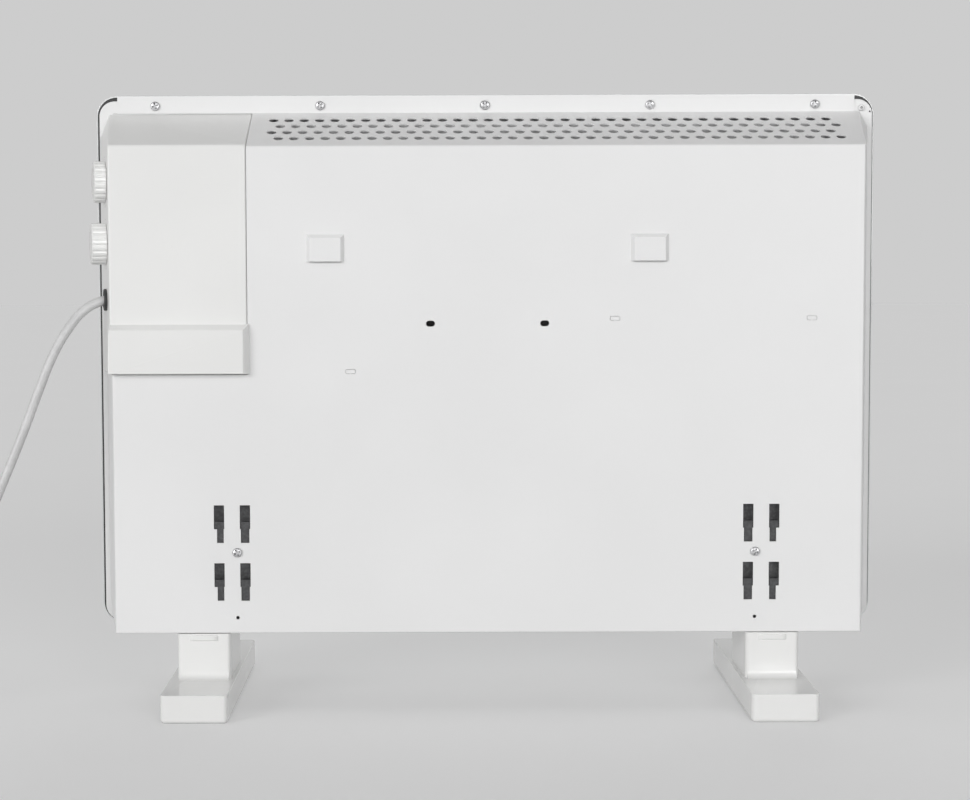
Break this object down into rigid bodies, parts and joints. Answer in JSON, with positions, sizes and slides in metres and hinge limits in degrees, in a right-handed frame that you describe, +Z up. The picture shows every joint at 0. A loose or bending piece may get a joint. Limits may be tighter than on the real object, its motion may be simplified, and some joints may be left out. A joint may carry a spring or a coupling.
{
  "type": "fan convector heater",
  "caption": "Free-standing slim glass-fronted convector heater with a perforated folded-steel back, side control box with turn knobs, a mains cord and low feet.",
  "frame": {"origin": "on the floor under the middle of the heater without its cord, midway between the two feet", "axes": "+Z up; +X across the panel towards the control box; +Y out of the perforated rear casing, so the glass front faces -Y"},
  "size_m": [0.9566, 0.236, 0.491],
  "materials": {
    "glass": "white back-painted glass",
    "white_steel": "white powder coat",
    "white_plastic": "smooth white",
    "black_plastic": "satin black",
    "rubber": "matt black",
    "cord": "smooth light grey jacket",
    "zinc": "zinc plated",
    "bare_steel": "bare galvanised sheet",
    "dark_steel": "dark laminated steel",
    "aluminium": "plain extruded",
    "bakelite": "dark moulded",
    "wire": "insulated"
  },
  "bodies": {
    "heater": {"front_glass": "glass", "glass_gasket": "rubber", "front_frame": "white_steel", "rear_casing": "white_steel", "control_box": "white_plastic", "thermostat_body": "bakelite", "selector_switch": "bakelite", "cable_gland": "rubber", "mains_cord": "cord", "cord_coil": "cord", "plug_body": "black_plastic", "plug_pin_1": "zinc", "plug_pin_2": "zinc", "foot_left": "white_plastic", "foot_right": "white_plastic", "heat_shield": "bare_steel", "partition": "bare_steel", "element_lower": "aluminium", "element_upper": "aluminium", "element_bracket_left": "bare_steel", "element_bracket_right": "bare_steel", "hook_plate_left": "dark_steel", "hook_plate_right": "dark_steel", "fan_housing": "bare_steel", "fan_motor": "dark_steel", "thermal_cutout": "bakelite", "terminal_block": "bakelite", "wire_lead": "wire", "wire_switch": "wire", "wire_thermostat": "wire", "wire_element": "wire", "flange_screw_1": "zinc", "flange_screw_2": "zinc", "flange_screw_3": "zinc", "flange_screw_4": "zinc", "flange_screw_5": "zinc", "corner_screw": "zinc", "hook_screw_left": "zinc", "foot_screw_left_1": "zinc", "foot_screw_left_2": "zinc", "hook_screw_right": "zinc", "foot_screw_right_1": "zinc", "foot_screw_right_2": "zinc"},
    "thermostat": {"thermostat_knob": "white_plastic", "thermostat_shaft": "zinc"},
    "selector": {"selector_knob": "white_plastic", "selector_shaft": "zinc"},
    "fan": {"fan_rotor": "black_plastic"}
  },
  "joints": [
    {"name": "thermostat_turn", "type": "hinge", "parent": "heater", "child": "thermostat", "pos_m": [0.30342, 0.0361, 0.4183], "axis": [0.9712, 0.2382, 0], "range_deg": [-300, 0]},
    {"name": "selector_turn", "type": "hinge", "parent": "heater", "child": "selector", "pos_m": [0.30342, 0.0361, 0.3692], "axis": [0.9712, 0.2382, 0], "range_deg": [-270, 0]},
    {"name": "fan_spin", "type": "hinge", "parent": "heater", "child": "fan", "pos_m": [-0.01, 0.0255, 0.0905], "axis": [1, 0, 0], "continuous": true}
  ]
}
